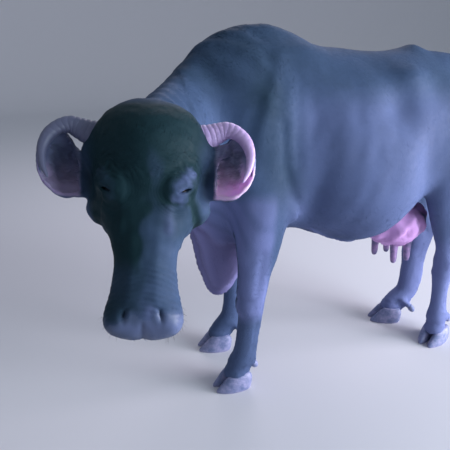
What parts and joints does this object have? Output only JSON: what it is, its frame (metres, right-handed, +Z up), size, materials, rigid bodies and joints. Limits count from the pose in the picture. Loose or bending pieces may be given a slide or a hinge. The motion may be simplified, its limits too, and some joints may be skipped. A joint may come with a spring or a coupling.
{
  "type": "standing water buffalo cow",
  "caption": "Life-size water buffalo cow standing with her head lowered and turned to the left, with curled horns, broad ears, an udder and a tufted tail.",
  "frame": {"origin": "on the ground under the middle of her outline", "axes": "+X towards her front, +Y to her left, +Z up"},
  "size_m": [1.9208, 1.0914, 1.3902],
  "materials": {
    "skin": "dark slate hide with sparse short hair",
    "horn": "ringed horn, worn dull",
    "ear_skin": "thin hide, pinkish inside",
    "udder_skin": "bare pink skin",
    "hoof_horn": "hoof horn, scuffed",
    "eye": "wet gloss",
    "hair": "coarse long hair"
  },
  "bodies": {
    "root": {"torso": "skin", "neck": "skin", "brisket": "skin", "head": "skin", "eye_left": "eye", "eye_right": "eye", "horn_left": "horn", "horn_right": "horn", "ear_left": "ear_skin", "ear_right": "ear_skin", "foreleg_left": "skin", "foreleg_left_claw_left": "hoof_horn", "foreleg_left_claw_right": "hoof_horn", "foreleg_left_dewclaw_left": "hoof_horn", "foreleg_left_dewclaw_right": "hoof_horn", "foreleg_right": "skin", "foreleg_right_claw_left": "hoof_horn", "foreleg_right_claw_right": "hoof_horn", "foreleg_right_dewclaw_left": "hoof_horn", "foreleg_right_dewclaw_right": "hoof_horn", "hindleg_left": "skin", "hindleg_left_claw_left": "hoof_horn", "hindleg_left_claw_right": "hoof_horn", "hindleg_left_dewclaw_left": "hoof_horn", "hindleg_left_dewclaw_right": "hoof_horn", "hindleg_right": "skin", "hindleg_right_claw_left": "hoof_horn", "hindleg_right_claw_right": "hoof_horn", "hindleg_right_dewclaw_left": "hoof_horn", "hindleg_right_dewclaw_right": "hoof_horn", "udder": "udder_skin", "teat_front_left": "udder_skin", "teat_rear_left": "udder_skin", "teat_front_right": "udder_skin", "teat_rear_right": "udder_skin", "tail": "skin", "tail_switch": "hair"}
  },
  "joints": []
}
